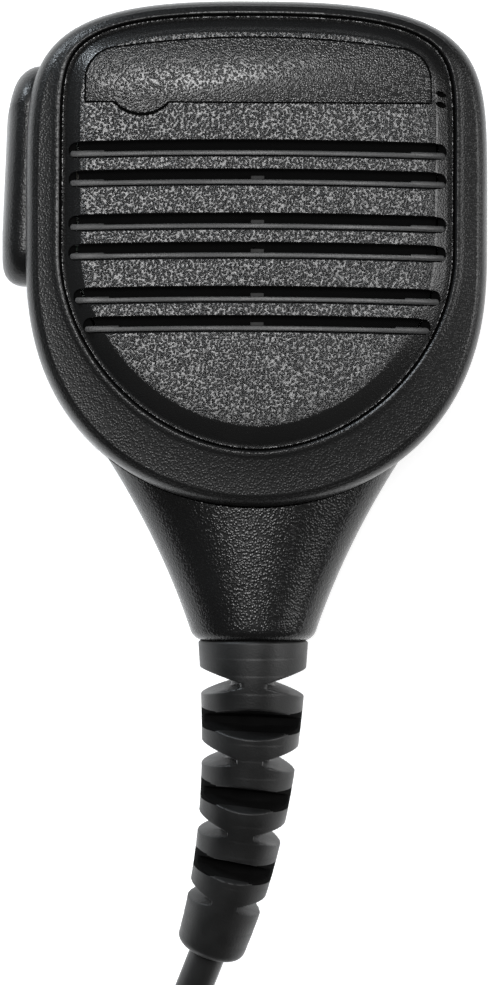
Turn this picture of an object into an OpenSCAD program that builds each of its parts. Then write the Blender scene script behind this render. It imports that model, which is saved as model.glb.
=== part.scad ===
// Hand microphone with a speaker, a push-to-talk button, a swivel belt clip,
// a curly cord and a two-pin plug. It lies face up on its clip, +Y towards its top.

/* [Body] */
// Width of the body across its widest line
body_w = 62; // [60:0.5:64]
// Height of the body above its widest line
body_top = 34; // [33:0.5:35]
// Height of the front shell below its widest line
body_low = 33.8; // [33:0.2:34.4]
// Length from the widest line down to the end of the neck
neck_end = 52; // [51:0.5:54]
// Thickness of the shells
wall = 2; // [1.8:0.1:2.2]

/* [Levels above the table] */
// Outer face of the back shell
back_z = 12; // [12:0.5:13]
// Middle of the seam between the two shells
seam_z = 24.5; // [24:0.1:25]
// Crest of the front shell's rim
rim_z = 37.3; // [37:0.1:37.6]
// Middle of the neck and of the cord's exit
neck_z = 25; // [24.5:0.5:25.5]

/* [Grille panel] */
// Half width of the groove round the panel
panel_a = 26.5; // [26:0.1:26.6]
// Height of the panel above the widest line
panel_top = 32.1; // [32:0.1:32.4]
// Height of the panel below the widest line
panel_low = 26.4; // [25.5:0.1:26.5]
// Top of the raised middle of the panel
plateau_z = 38; // [37.8:0.1:38.2]
// Height of one louvre slot
slot_h = 2.1; // [1.8:0.1:2.3]
// Distance between the two slots of a pair
slot_pitch = 3.9; // [3.8:0.1:4.2]
// Distance between pairs of slots
pair_pitch = 9.8; // [9.6:0.1:10.2]

/* [Push-to-talk button] */
// How far the button stands out from the body
ptt_proud = 3.2; // [2.8:0.1:3.4]
// Travel of the button
ptt_travel = 1.2; // [0.8:0.1:1.2]
// Lower end of the button
ptt_y0 = -4.2; // [-4.6:0.1:-4]
// Upper end of the button
ptt_y1 = 25.5; // [25:0.1:25.7]

/* [Speaker] */
// Outer radius of the speaker
speaker_r = 18; // [16:0.5:18]

/* [Earphone jack] */
// Radius of the bore for a 3.5 mm plug
jack_r = 1.8; // [1.78:0.01:1.82]

/* [Belt clip] */
// Length from the clip's pivot to its jaw
clip_jaw = 20; // [19:0.5:22]
// Length from the clip's pivot to its thumb end
clip_thumb = 27; // [26:0.5:28]
// Radius of the clip's hinge pin
pin_r = 1.25; // [1:0.05:1.3]

/* [Cord] */
// Diameter of the cord
cord_d = 5; // [5:0.1:5.2]
// Outer diameter of the curly part
curl_d = 14; // [13.8:0.1:14]
// Length of the strain relief from the neck to its end
relief_len = 44; // [43:0.5:45]
// Radius of the strain relief at its start and its end
relief_r = [7.45, 4.65];
// Sideways bend of the strain relief at its end, degrees
relief_bend = 19; // [16:1:22]
// Droop of the strain relief at its end, degrees
relief_droop = 20; // [14:1:20]

/* [Plug] */
// Distance between the two plug pins
plug_pitch = 11; // [10.6:0.1:11.4]

/* [Hidden] */
$fn = 48;

// The body's widest line crosses its middle at this place, so that the box round the
// body, the neck and the button is centred on the origin.
body_x = ptt_proud / 2;
body_y = (neck_end - body_top) / 2;

seal_t = 0.4;
front_z = seam_z + seal_t / 2;
back_top_z = seam_z - seal_t / 2;
rim_start_z = 33.5;
ceiling_z = 34.4;
ledge_z = 35.6;
panel_edge_z = 36.2;
cloth_t = 0.3;
gap = 0.3;

housing_screw_at = [[16, 27.5], [-16, 27.5], [21, -14], [-21, -14]];
head_z = 18;
board_z = 20.5;
board_t = 1.6;
board_top_z = board_z + board_t;

mic_at = [22.4, 20.5];
mic_hole_at = [24.3, 20.5];
jack_at = [6, 19.2];
jack_mouth_x = 29.4;
flap_pivot = [30.5, 15.7];

ptt_z0 = 17.5;
ptt_z1 = 32;
ptt_mid_y = (ptt_y0 + ptt_y1) / 2;
plunger_z = 24.5;
seal_x = -25.4;
switch_x = -23.6;
switch_len = 4;

clip_y = 2;
clip_plate_z = [9.3, 10.6];
clip_half = 8.1;
lever_half = 9.4;
lever_t = 1.4;
pin_y = 12;
pin_z = 6.2;
shoulder_r = 3;

// ---- curves ----

// A quarter of a rounded outline, from its side to its end.
function quarter(a, h, p, q, n = 20) = [for (i = [0 : n])
    let (t = 90 * pow(i / n, 1.6)) [a * pow(cos(t), 2 / p), h * pow(sin(t), 2 / q)]];

function mirrored(points, sx, sy) = [for (p = points) [sx * p[0], sy * p[1]]];
function backward(list) = [for (i = [len(list) - 1 : -1 : 0]) list[i]];
function inner(list) = [for (i = [1 : len(list) - 2]) list[i]];

// A closed outline from an upper and a lower quarter.
function closed(up, low) = concat(up, backward(mirrored(inner(up), -1, 1)),
    [[-up[0][0], 0]], mirrored(inner(low), -1, -1),
    [[0, -low[len(low) - 1][1]]], backward(mirrored(inner(low), 1, -1)));

function body_outline(d = 0) = closed(
    quarter(body_w / 2 + d, body_top + d, 2.8, 6.2),
    quarter(body_w / 2 + d, body_low + d, 2, 2.4));

function panel_outline(side = 0, top = 0, low = 0) = closed(
    quarter(panel_a + side, panel_top + top, 2.6, 10),
    quarter(panel_a + side, panel_low + low, 1.9, 1.9));

// Half width of the panel's groove at a height.
function panel_half(y) = y >= 0
    ? panel_a * pow(1 - pow(y / panel_top, 10), 1 / 2.6)
    : panel_a * pow(1 - pow(-y / panel_low, 1.9), 1 / 1.9);

function unit(v) = v / norm(v);

// Rings of a tube round a route.
function tube_points(route, r, sides) = [for (i = [0 : len(route) - 1])
    let (last = len(route) - 1,
         t = unit(route[min(i + 1, last)] - route[max(i - 1, 0)]),
         side = unit(cross(t, [0, 0, 1])),
         up = cross(side, t))
    for (k = [0 : sides - 1])
        route[i] + r * (cos(360 * k / sides) * side + sin(360 * k / sides) * up)];

function tube_faces(rings, sides) = concat(
    [[for (k = [0 : sides - 1]) k]],
    [for (i = [0 : rings - 2], k = [0 : sides - 1])
        let (a = i * sides + k, b = i * sides + (k + 1) % sides) [a, a + sides, b]],
    [for (i = [0 : rings - 2], k = [0 : sides - 1])
        let (a = i * sides + k, b = i * sides + (k + 1) % sides) [b, a + sides, b + sides]],
    [[for (k = [sides - 1 : -1 : 0]) (rings - 1) * sides + k]]);

// Points of a circular arc on the table, from one heading to another.
function arc(centre, r, from, to, n, z) = [for (i = [0 : n])
    let (a = from + (to - from) * i / n) [centre[0] + r * cos(a), centre[1] + r * sin(a), z]];

// ---- the strain relief's axis ----

relief_steps = 20;
relief_step = relief_len / relief_steps;
function relief_dir(s) =
    let (part = max(0, s) / relief_len, side = relief_bend * pow(part, 1.5),
         down = relief_droop * pow(part, 0.7))
    [-sin(side) * cos(down), -cos(side) * cos(down), -sin(down)];
relief_start = [body_x, body_y - neck_end, neck_z];
relief_path = [for (i = 0, p = relief_start; i <= relief_steps;
    i = i + 1, p = p + relief_step * relief_dir((i - 0.5) * relief_step)) p];
function relief_at(s) = let (i = min(max(0, floor(s / relief_step)), relief_steps))
    relief_path[i] + (s - i * relief_step) * relief_dir(s);
function relief_radius(s) = relief_r[0] + (relief_r[1] - relief_r[0]) * s / relief_len;
relief_end = relief_path[relief_steps];

// ---- the cord's route ----

curl_r = curl_d / 2;
curl_z = curl_r + 0.6;
coil_low_z = curl_z - (curl_d - cord_d) / 2;

// From the strain relief down to the table and along it to the curly part.
tail_route = [relief_end, [-7.2, -94, 12.5], [-10, -102, 9], [-12.2, -110, 6],
    [-13.6, -118, 4], [-14, -126, coil_low_z], [-14, -133, coil_low_z]];

// The curly part is folded once and lies in line with the body.
curl_turn = [-8, -244];
curl_turn_r = 14;
function on_table(points, z) = [for (p = points) [p[0], p[1], z]];
curl_route = concat(
    on_table([[-14, -133], [-13.6, -147], [-12.5, -160], [-12, -172], [-12, -185],
        [-13, -198], [-15.5, -211], [-19, -223], [-21.5, -234]], curl_z),
    arc(curl_turn, curl_turn_r, 180, 360, 9, curl_z),
    on_table([[5.6, -234], [4.6, -223], [3.6, -211], [3.2, -198], [3, -185], [3, -172],
        [3, -160], [3, -149], [3, -138]], curl_z));

// From the curly part round to the plug, which lies beside it.
lead_turn = [13.4, -126];
lead_r = 10.4;
lead_route = concat([[3, -138, coil_low_z], [3, -132, coil_low_z]],
    arc(lead_turn, lead_r, 180, 0, 8, cord_d / 2 + 0.1),
    [[23.8, -133, cord_d / 2 + 0.6], [23.8, -140, 5]]);

plug_x = 23.8;
plug_y = -140;
plug_z = 5;
plug_relief_len = 12;
plug_len = 21;
// The tie holds both runs where they lie straight beside each other.
tie_at = [-4.5, -178.5];
tie_len = 10;
run_pitch = 15;

// ---- helpers ----

module at_body() {
    translate([body_x, body_y, 0]) children();
}

module slab(points, z0, z1) {
    translate([0, 0, z0]) linear_extrude(z1 - z0) polygon(points);
}

// A straight hole or rod along Z.
module rod(at, r, z0, z1) {
    translate([at[0], at[1], z0]) cylinder(r = r, h = z1 - z0);
}

// A rectangle with round corners, from true circles.
module round_rect(w, h, r) {
    square([w - 2 * r, h], center = true);
    square([w, h - 2 * r], center = true);
    for (x = [-1, 1], y = [-1, 1])
        translate([x * (w / 2 - r), y * (h / 2 - r)]) circle(r);
}

// A thing drawn in the side plane, Y to the right and Z up, made thick along X.
module along_x(x0, x1) {
    translate([x0, 0, 0]) rotate([90, 0, 90]) linear_extrude(x1 - x0) children();
}

module tube(route, r, sides) {
    polyhedron(tube_points(route, r, sides), tube_faces(len(route), sides), convexity = 6);
}

// The opening in the left side for the button.
module ptt_window(grow = 0) {
    h = ptt_z1 - ptt_z0;
    along_x(-45, -24)
        translate([ptt_mid_y, (ptt_z0 + ptt_z1) / 2])
            round_rect(ptt_y1 - ptt_y0 + 2 * grow, h + 2 * grow, 5 + grow);
}

// ---- shells ----

module front_housing() {
    color("#2c2c2e") at_body() difference() {
        union() {
            difference() {
                union() {
                    slab(body_outline(), front_z, rim_start_z);
                    translate([0, 0, rim_start_z]) linear_extrude(2.6, scale = 0.955)
                        polygon(body_outline());
                    translate([0, 0, rim_start_z + 2.6]) linear_extrude(rim_z - rim_start_z - 2.6,
                        scale = 0.97) scale(0.955) polygon(body_outline());
                }
                slab(body_outline(-wall), front_z - 1, ceiling_z);
                slab(panel_outline(-2.2, -2.2, -2.2), ceiling_z - 1, rim_z + 1);
                slab(panel_outline(0.15, 0.15, 0.15), ledge_z, rim_z + 1);
                rod(mic_hole_at, 1.8, ceiling_z - 1, ledge_z + 1);
            }
            for (at = housing_screw_at) rod(at, 3, front_z, ceiling_z + 0.2);
        }
        for (at = housing_screw_at) rod(at, 2.1, front_z - 1, front_z + 5.5);
        ptt_window(gap);
        // room for the cord clamp and its screws
        translate([-9, -40, front_z - 1]) cube([18, 13, 7]);
    }
}

// A section across the neck.
module neck_slice(y, half_w, half_t) {
    translate([0, y, neck_z]) rotate([90, 0, 0]) linear_extrude(0.1)
        scale([half_w, half_t]) circle(1, $fn = 32);
}

module neck_part(a, b) {
    hull() {
        neck_slice(a[0], a[1], a[2]);
        neck_slice(b[0], b[1], b[2]);
    }
}

neck_stations = [[-24, 22.2, 10.4], [-31, 17.8, 9.8], [-37, 14.2, 9.2], [-44, 11, 8.6],
    [-neck_end + 0.1, 8.5, 8]];
neck_hollow = [[-20, 20, 8], [-37, 11.8, 7], [-neck_end + 2.6, 6.8, 6.4]];

module back_housing() {
    color("#262628") at_body() difference() {
        union() {
            difference() {
                union() {
                    translate([0, 0, back_z + 3]) mirror([0, 0, 1]) linear_extrude(3, scale = 0.93)
                        polygon(body_outline());
                    slab(body_outline(), back_z + 3, back_top_z);
                    difference() {
                        for (i = [0 : 3]) neck_part(neck_stations[i], neck_stations[i + 1]);
                        slab(body_outline(0.15), back_top_z, rim_z);
                    }
                }
                slab(body_outline(-wall - 0.6), back_z + wall, back_z + wall + 2);
                slab(body_outline(-wall), back_z + wall + 2, back_top_z + 1);
                for (i = [0 : 1]) neck_part(neck_hollow[i], neck_hollow[i + 1]);
            }
            for (at = housing_screw_at) rod(at, 3.4, back_z + 1, back_top_z);
            for (x = [-6, 6]) rod([x, -29.5], 2.2, back_z + 1, neck_z + cord_d / 2);
            for (x = [-12, 12], y = [-17, 19]) rod([x, y], 1.8, back_z + 1, board_z);
            rod([0, clip_y], 5.5, back_z + 1, back_z + 6);
            rod([0, clip_y], 8.5, back_z - 0.8, back_z + 1);
        }
        for (at = housing_screw_at) {
            rod(at, 1.5, back_z, back_top_z + 1);
            rod(at, 2.6, back_z - 1, head_z);
        }
        for (x = [-6, 6]) rod([x, -29.5], 0.9, neck_z - 4, neck_z + cord_d / 2 + 1);
        rod([0, clip_y], 2.4, back_z - 2, back_z + 5);
        translate([0, -neck_end - 1, neck_z]) rotate([-90, 0, 0]) cylinder(r = 5.1, h = 6);
        ptt_window(gap);
        // the jack's hole and the flap's recess in the right side
        translate([24, jack_at[0], jack_at[1]]) rotate([0, 90, 0]) cylinder(r = 3, h = 10);
        translate([29.95, jack_at[0] - 4.6, 14.9]) cube([4, 9.2, 8.6]);
    }
}

module housing_seal() {
    color("#151515") at_body() difference() {
        slab(body_outline(-0.5), back_top_z, front_z);
        slab(body_outline(-wall + 0.3), back_top_z - 1, front_z + 1);
        ptt_window(gap);
        translate([-18, -40, back_top_z - 1]) cube([36, 14, 3]);
    }
}

module housing_screws() {
    color("#8a8a8c") at_body() for (at = housing_screw_at) difference() {
        union() {
            rod(at, 2.4, head_z - 1.8, head_z);
            rod(at, 1.25, head_z, front_z + 4.5);
        }
        rod(at, 0.8, head_z - 2.8, head_z - 0.8, $fn = 6);
    }
}

module threaded_inserts() {
    color("#b08d3c") at_body() for (at = housing_screw_at) difference() {
        rod(at, 2.1, front_z + 0.2, front_z + 5.2);
        rod(at, 1.25, front_z - 1, front_z + 7);
    }
}

// ---- grille ----

slot_top_y = 14.1;
slots = [for (pair = [0 : 2], row = [0, 1]) slot_top_y - pair * pair_pitch - row * slot_pitch];
function slot_half(y) = min(25.4, panel_half(y) - 1.2);
rib_half = 0.9;

module slot_shape(y, h) {
    translate([0, y]) round_rect(2 * slot_half(y), h, 0.8 * h / 2);
}

plate_half = 23.15;
plate_low = 20.15;
plate_corner_r = 4.5;
plate_corner = [plate_half - plate_corner_r, 23];
tab_at = [-15.6, 23.37];
tab_r = 4.86;
tab_angle = asin((plate_low + 0.3 - tab_at[1]) / tab_r);
function plate_top(x) = 28.95 - 1.6 * pow(x / 20, 2);

// The name plate's arched top edge, its round upper corners and the small tab below it.
module name_plate_shape(grow = 0) {
    r = plate_corner_r + grow;
    corner = [for (i = [0 : 6]) plate_corner + r * [cos(13.5 * i), sin(13.5 * i)]];
    polygon(concat([[-plate_half - grow, plate_low - grow], [plate_half + grow, plate_low - grow]],
        corner, [for (x = [16 : -4 : -16]) [x, plate_top(x) + grow]],
        backward(mirrored(corner, -1, 1))));
    translate(tab_at) polygon([for (i = [0 : 12])
        let (a = tab_angle - i * (180 + 2 * tab_angle) / 12) (tab_r + grow) * [cos(a), sin(a)]]);
}

module grille_panel() {
    color("#3a3a3c") at_body() difference() {
        union() {
            slab(panel_outline(), ledge_z, panel_edge_z);
            translate([0, 0, panel_edge_z]) linear_extrude(plateau_z - panel_edge_z, scale = 0.915)
                polygon(panel_outline());
        }
        for (y = slots) {
            translate([0, 0, plateau_z - 1.5]) linear_extrude(3) slot_shape(y, slot_h);
            translate([0, 0, ledge_z - 1]) linear_extrude(4) difference() {
                translate([0, y + slot_h / 4]) square([2 * slot_half(y) - 3, slot_h / 2],
                    center = true);
                translate([0, y]) square([2 * rib_half, 2 * slot_h], center = true);
            }
        }
        translate([0, 0, plateau_z - 0.4]) linear_extrude(2) name_plate_shape(0.1);
        for (s = [-1, 1]) translate([mic_hole_at[0], mic_hole_at[1] + 0.72 * s, ledge_z - 1])
            rotate([0, 0, -15]) linear_extrude(4) round_rect(1.7, 0.9, 0.4);
    }
}

module name_plate() {
    color("#303032") at_body() translate([0, 0, plateau_z - 0.4]) linear_extrude(0.4)
        name_plate_shape();
}

module grille_cloth() {
    color("#101010") at_body() slab(panel_outline(-2.5, -2.5, -2.5), ledge_z - cloth_t, ledge_z);
}

// ---- speaker ----

speaker_y = 1;
speaker_top_z = ceiling_z - 0.1;

module speaker_ring(points) {
    translate([0, speaker_y, speaker_top_z]) rotate_extrude() polygon(points);
}

module speaker_gasket() {
    color("#1c1c1c") at_body() speaker_ring([[speaker_r - 2.8, 0], [speaker_r, 0],
        [speaker_r, 1], [speaker_r - 2.8, 1]]);
}

module speaker_frame() {
    color("#777a7d") at_body() speaker_ring([[speaker_r - 2.8, 0], [speaker_r - 2.8, -0.8],
        [9.8, -5], [3, -5], [3, -5.8], [10.2, -5.8], [speaker_r - 2, -1.6],
        [speaker_r, -1.4], [speaker_r, 0]]);
}

module speaker_cone() {
    color("#1a1a1c") at_body() speaker_ring([[0, -2.4], [3, -2.8], [5, -3.6],
        [speaker_r - 5.4, -1], [speaker_r - 4.2, -0.4], [speaker_r - 3, -0.8],
        [speaker_r - 3, -0.2], [speaker_r - 4.2, 0.2], [speaker_r - 5.4, -0.4],
        [5, -3], [3, -2.2], [0, -1.8]]);
}

module speaker_magnet() {
    color("#55585a") at_body() speaker_ring([[0, -5.9], [9, -5.9], [9, -9.6], [8.6, -10],
        [0, -10]]);
}

// ---- microphone ----

module mic_capsule() {
    color("#a9a9ab") at_body() rod(mic_at, 3, 30.6, 33.2);
}

module mic_boot() {
    color("#1e1e1e") at_body() difference() {
        rod(mic_at, 3.8, 29.6, ceiling_z);
        rod(mic_at, 3, 30.6, 33.2);
        rod([mic_at[0] + 1.2, mic_at[1]], 1, 32, ceiling_z + 1);
    }
}

// ---- electronics ----

module circuit_board() {
    color("#1f5a36") at_body() translate([0, 0, board_z]) linear_extrude(board_t) difference() {
        union() {
            translate([0, 1]) square([33, 42], center = true);
            translate([0, 5.5]) square([49, 27], center = true);
        }
        // the jack's socket sits in a notch in the board's edge
        translate([15.9, jack_at[0] - 3.5]) square([10, 7]);
    }
}

module board_components() {
    color("#222222") at_body() {
        for (p = [[-8, -13], [8, -13], [-13, 16], [13, 16]])
            translate([p[0], p[1], board_top_z + 0.6]) cube([5, 4, 1.2], center = true);
        translate([0, -13, board_top_z + 0.7]) cube([6, 3, 1.4], center = true);
        for (x = [-9, -3, 3, 9]) rod([x, 19], 1, board_top_z, board_top_z + 2);
    }
}

module ptt_button() {
    window = ptt_window_size();
    color("#2f2f31") at_body() {
        // the key, which the thumb presses
        intersection() {
            translate([0, 0, ptt_z0]) linear_extrude(ptt_z1 - ptt_z0)
                polygon([[-28, ptt_y0], [-31.6, ptt_y0], [-32.8, ptt_y0 + 1.8],
                    [-33.8, ptt_y0 + 3.9], [-body_w / 2 - ptt_proud, ptt_y0 + 6.4],
                    [-body_w / 2 - ptt_proud, 10], [-33.95, 14], [-33.5, 18.5], [-32.8, 22],
                    [-31.5, 24.4], [-29.4, ptt_y1], [-26.5, ptt_y1]]);
            union() {
                ptt_window();
                translate([-26.6, ptt_y0 - 1, ptt_z0]) cube([1, window[0], window[1]]);
            }
            slab(concat([[-50, -20]], [for (i = [0 : 40])
                let (y = -10 + i) [-27.9 + (y > 15 ? pow((y - 15) / 10, 2) * 1.3 : 0), y]],
                [[-50, 30]]), ptt_z0 - 1, ptt_z1 + 1);
        }
        // the flange that holds it in the shell
        intersection() {
            difference() {
                slab(body_outline(-wall - 0.3), ptt_z0 - 1, ptt_z1 + 1);
                slab(body_outline(-wall - 1.1), ptt_z0 - 2, ptt_z1 + 2);
            }
            translate([-40, ptt_y0 - 1.2, ptt_z0 - 1]) cube([16, window[0] + 2.4, window[1] + 2]);
        }
        // the post that reaches the switch
        translate([-28.4, ptt_mid_y, plunger_z]) rotate([0, 90, 0]) cylinder(r = 1.5, h = 3.4);
    }
}

function ptt_window_size() = [ptt_y1 - ptt_y0, ptt_z1 - ptt_z0];

module ptt_seal() {
    color("#181818") at_body() difference() {
        translate([seal_x, ptt_mid_y - 10, back_z + wall]) cube([0.6, 20, ceiling_z - back_z - wall]);
        translate([seal_x - 1, ptt_mid_y, plunger_z]) rotate([0, 90, 0]) cylinder(r = 1.6, h = 3);
    }
}

module ptt_switch() {
    color("#3a3f45") at_body() difference() {
        translate([switch_x, ptt_mid_y - 3, board_top_z]) cube([switch_len, 6, 4.4]);
        translate([switch_x - 1, ptt_mid_y, plunger_z]) rotate([0, 90, 0])
            cylinder(r = 1.05, h = 3 + ptt_travel);
    }
}

module switch_plunger() {
    color("#c9c4b4") at_body() translate([-25, ptt_mid_y, plunger_z]) rotate([0, 90, 0])
        cylinder(r = 1, h = 3.2);
}

module ear_jack_socket() {
    color("#2a2a2a") at_body() difference() {
        union() {
            translate([16, jack_at[0] - 3.4, jack_at[1] - 2.9]) cube([9, 6.8, 5.8]);
            // the flange that rests on the board
            translate([16, jack_at[0] - 4.8, board_top_z]) cube([7, 9.6, 0.7]);
            translate([24, jack_at[0], jack_at[1]]) rotate([0, 90, 0])
                cylinder(r = 2.9, h = jack_mouth_x - 24);
        }
        translate([jack_mouth_x - 12, jack_at[0], jack_at[1]]) rotate([0, 90, 0])
            cylinder(r = jack_r, h = 13);
    }
}

module jack_dust_cap() {
    color("#1b1b1b") at_body() {
        translate([30.05, jack_at[0] - 4.3, flap_pivot[1]]) cube([0.95, 8.6, 7.5]);
        translate([flap_pivot[0], jack_at[0] - 4.3, flap_pivot[1]]) rotate([-90, 0, 0])
            cylinder(r = 0.45, h = 8.6);
        translate([29.25, jack_at[0], jack_at[1]]) rotate([0, 90, 0]) cylinder(r = 1.2, h = 1);
    }
}

// ---- inside the neck ----

module cord_clamp() {
    color("#6f7275") at_body() difference() {
        translate([-8.4, -31.5, neck_z + cord_d / 2]) cube([16.8, 4, 1.4]);
        for (x = [-6, 6]) rod([x, -29.5], 1.1, neck_z, neck_z + 6);
    }
}

module clamp_screws() {
    top_z = neck_z + cord_d / 2 + 1.4;
    color("#98989a") at_body() for (x = [-6, 6]) difference() {
        union() {
            rod([x, -29.5], 1.8, top_z, top_z + 1.2);
            rod([x, -29.5], 0.9, neck_z - 3, top_z);
        }
        translate([x, -29.5, top_z + 1.2]) cube([0.5, 3, 1], center = true);
    }
}

module inner_cord() {
    color("#1d1d1f") at_body() translate([0, -46, neck_z]) rotate([-90, 0, 0])
        cylinder(r = cord_d / 2, h = 20);
}

module wires() {
    for (k = [0 : 3]) color(["red", "gold", "white", "steelblue"][k]) {
        x = body_x + (k - 1.5) * 1.1;
        spread = body_x + (k - 1.5) * 2.4;
        y = body_y - 26;
        tube([[x, y, neck_z], [x, y + 2.5, neck_z + 0.2], [spread, y + 6, neck_z],
            [spread, y + 9, neck_z - 1], [spread, y + 11, board_top_z + 0.5]], 0.45, 8);
    }
}

// ---- belt clip ----

module swivel_washer() {
    color("#d8d4c8") at_body() difference() {
        rod([0, clip_y], 8, clip_plate_z[1] + 0.1, back_z - 0.8);
        rod([0, clip_y], shoulder_r, 9, 13);
    }
}

module swivel_screw() {
    color("#8f9092") at_body() difference() {
        union() {
            rod([0, clip_y], 5, clip_plate_z[0] - 1.7, clip_plate_z[0] - 0.1);
            rod([0, clip_y], shoulder_r, clip_plate_z[0] - 0.1, back_z - 0.8);
            rod([0, clip_y], 1.5, back_z - 0.8, back_z + 4);
        }
        for (a = [0, 90]) translate([0, clip_y, clip_plate_z[0] - 1.7]) rotate([0, 0, a])
            cube([5, 1, 1.6], center = true);
    }
}

module swivel_insert() {
    color("#b08d3c") at_body() difference() {
        rod([0, clip_y], 2.4, back_z - 0.8, back_z + 5);
        rod([0, clip_y], 1.5, back_z - 2, back_z + 6);
    }
}

module clip_base() {
    color("#3b3b3e") at_body() translate([0, clip_y, 0]) difference() {
        union() {
            difference() {
                translate([-clip_half, -clip_jaw, clip_plate_z[0]])
                    cube([2 * clip_half, clip_jaw + clip_thumb, clip_plate_z[1] - clip_plate_z[0]]);
                rod([0, 0], shoulder_r + 0.05, 8, 12);
            }
            for (x = [-clip_half, clip_half - 1.2]) along_x(x, x + 1.2)
                polygon([[6.5, clip_plate_z[1]], [17.5, clip_plate_z[1]], [15.5, 4.4], [8.5, 4.4]]);
        }
        translate([-20, pin_y, pin_z]) rotate([0, 90, 0]) cylinder(r = pin_r, h = 40);
    }
}

module clip_lever() {
    jaw_top = clip_plate_z[0] - gap;
    color("#46464a") at_body() translate([0, clip_y, 0]) difference() {
        union() {
            translate([-lever_half, -clip_jaw, 0])
                cube([2 * lever_half, clip_jaw + clip_thumb, lever_t]);
            for (x = [-lever_half, lever_half - 0.9]) along_x(x, x + 0.9)
                polygon([[2, 0], [22, 0], [16.5, 8.2], [7.5, 8.2]]);
            translate([-lever_half, -clip_jaw, 0]) cube([2 * lever_half, 1.4, jaw_top - 1.2]);
            for (i = [-3 : 3]) translate([i * 2.6, -clip_jaw + 1.4, jaw_top - 1.2])
                rotate([90, 0, 0]) linear_extrude(1.4) polygon([[-1.3, 0], [1.3, 0], [0, 1.2]]);
        }
        for (i = [0 : 3]) translate([-7, clip_thumb - 2.4 - 2.2 * i, -0.1]) cube([14, 0.9, 0.5]);
        translate([-20, pin_y, pin_z]) rotate([0, 90, 0]) cylinder(r = pin_r + 0.05, h = 40);
    }
}

module clip_pin() {
    color("#a4a6a8") at_body() translate([-lever_half - 0.5, clip_y + pin_y, pin_z])
        rotate([0, 90, 0]) cylinder(r = pin_r, h = 2 * lever_half + 1);
}

spring_wire = 0.9;
spring_turns = 10;
spring_leg_tilt = [-16, 0, 4];

module clip_spring() {
    mean_r = pin_r + 0.25 + spring_wire / 2;
    pitch = spring_wire * 0.94;
    color("#b4b6b8") at_body() translate([0, clip_y + pin_y, pin_z]) {
        translate([-spring_turns * pitch / 2, 0, 0]) rotate([0, 90, 0]) rotate_extrude()
            for (i = [0 : spring_turns]) translate([mean_r, i * pitch]) circle(spring_wire / 2, $fn = 16);
        for (s = [-1, 1]) translate([s * spring_turns * pitch / 2, 0, s * mean_r])
            rotate([spring_leg_tilt[s + 1] - 90, 0, 0]) cylinder(r = spring_wire / 2, h = 8, $fn = 16);
    }
}

// ---- strain relief ----

notch_first = 5.5;
notch_pitch = 5.04;
notches = 7;
core_r = 2.9;
// How near to the sleeve's middle the flanks of a notch would meet
notch_deepest = 0.9;
// Slope of the flanks, and half width of the straps they leave: first for the notches cut
// from the left and the right, then for those cut from the front and the back
notch_slope = [0.29, 0.4];
strap_half = [1.8, 2.5];
relief_sides = 24;

// How far a point at an angle round the sleeve may stand out.
function notch_limit(s, a) = min([for (i = [0 : notches - 1])
    let (flank = notch_deepest + abs(s - notch_first - i * notch_pitch) / notch_slope[i % 2],
         part = abs(i % 2 == 0 ? cos(a) : sin(a)))
    max(core_r, max(flank, strap_half[i % 2]) / max(part, 0.01))]);

// Where a notch's flanks meet the sleeve's outside and its core.
function notch_edges(i) =
    let (middle = notch_first + i * notch_pitch,
         wide = notch_slope[i % 2] * (relief_radius(middle) - notch_deepest),
         deep = notch_slope[i % 2] * (core_r - notch_deepest))
    [middle - wide, middle - deep, middle + deep, middle + wide];

// Places along the sleeve and its radius there: the stem and its flange inside the neck,
// the notched taper and the end.
relief_rings = concat(
    [[-6, 5], [-3.8, 5], [-3.8, 6.2], [-2.8, 6.2], [-2.8, 5], [0, 5], [0, relief_r[0]]],
    [for (i = [0 : notches - 1], s = notch_edges(i)) [s, relief_radius(s)]],
    [[relief_len - 1, relief_radius(relief_len)], [relief_len, relief_r[1] - 0.5]]);

relief_points = [for (ring = relief_rings)
    let (s = ring[0], d = relief_dir(s), side = unit(cross(d, [0, 0, 1])), up = cross(side, d))
    for (k = [0 : relief_sides - 1])
        let (a = 360 * k / relief_sides)
        relief_at(s) + min(ring[1], notch_limit(s, a)) * (cos(a) * side + sin(a) * up)];

module strain_relief() {
    color("#232325")
        polyhedron(relief_points, tube_faces(len(relief_rings), relief_sides), convexity = 10);
}

// ---- cord and plug ----

module cord_tail() {
    color("#1d1d1f") tube(tail_route, cord_d / 2, 10);
}

module cord_curly() {
    color("#1d1d1f") tube(curl_route, curl_r, 12);
}

module cord_lead() {
    color("#1d1d1f") tube(lead_route, cord_d / 2, 10);
}

module cord_tie() {
    inside = curl_d + 0.1;
    outside = curl_d + 1.1;
    color("#141414") translate([tie_at[0], tie_at[1] + tie_len / 2, curl_z]) rotate([90, 0, 0])
        linear_extrude(tie_len) difference() {
            round_rect(run_pitch + outside, outside, outside / 2 - 0.01);
            round_rect(run_pitch + inside, inside, inside / 2 - 0.01);
        }
}

module plug_relief() {
    color("#202022") translate([plug_x, plug_y, plug_z]) rotate([90, 0, 0])
        rotate_extrude() polygon([[0, 0], [3.1, 0], [3.3, 2], [4.6, plug_relief_len],
            [0, plug_relief_len]]);
}

module plug_body() {
    color("#242426") translate([plug_x, plug_y - plug_relief_len, plug_z]) rotate([90, 0, 0])
        linear_extrude(plug_len) round_rect(17, 10, 3);
}

// A plug pin with a round tip, pointing in -Y.
module plug_pin(x, r, len) {
    translate([plug_x + x, plug_y - plug_relief_len - plug_len, plug_z]) rotate([90, 0, 0])
        rotate_extrude() polygon([[0, 0], [r, 0], [r, len - 3], [r * 0.7, len - 2.4],
            [r * 0.95, len - 1.4], [r * 0.4, len], [0, len]]);
}

module plug_pin_large() {
    color("#cfb56a") plug_pin(-plug_pitch / 2, 1.75, 14);
}

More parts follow.
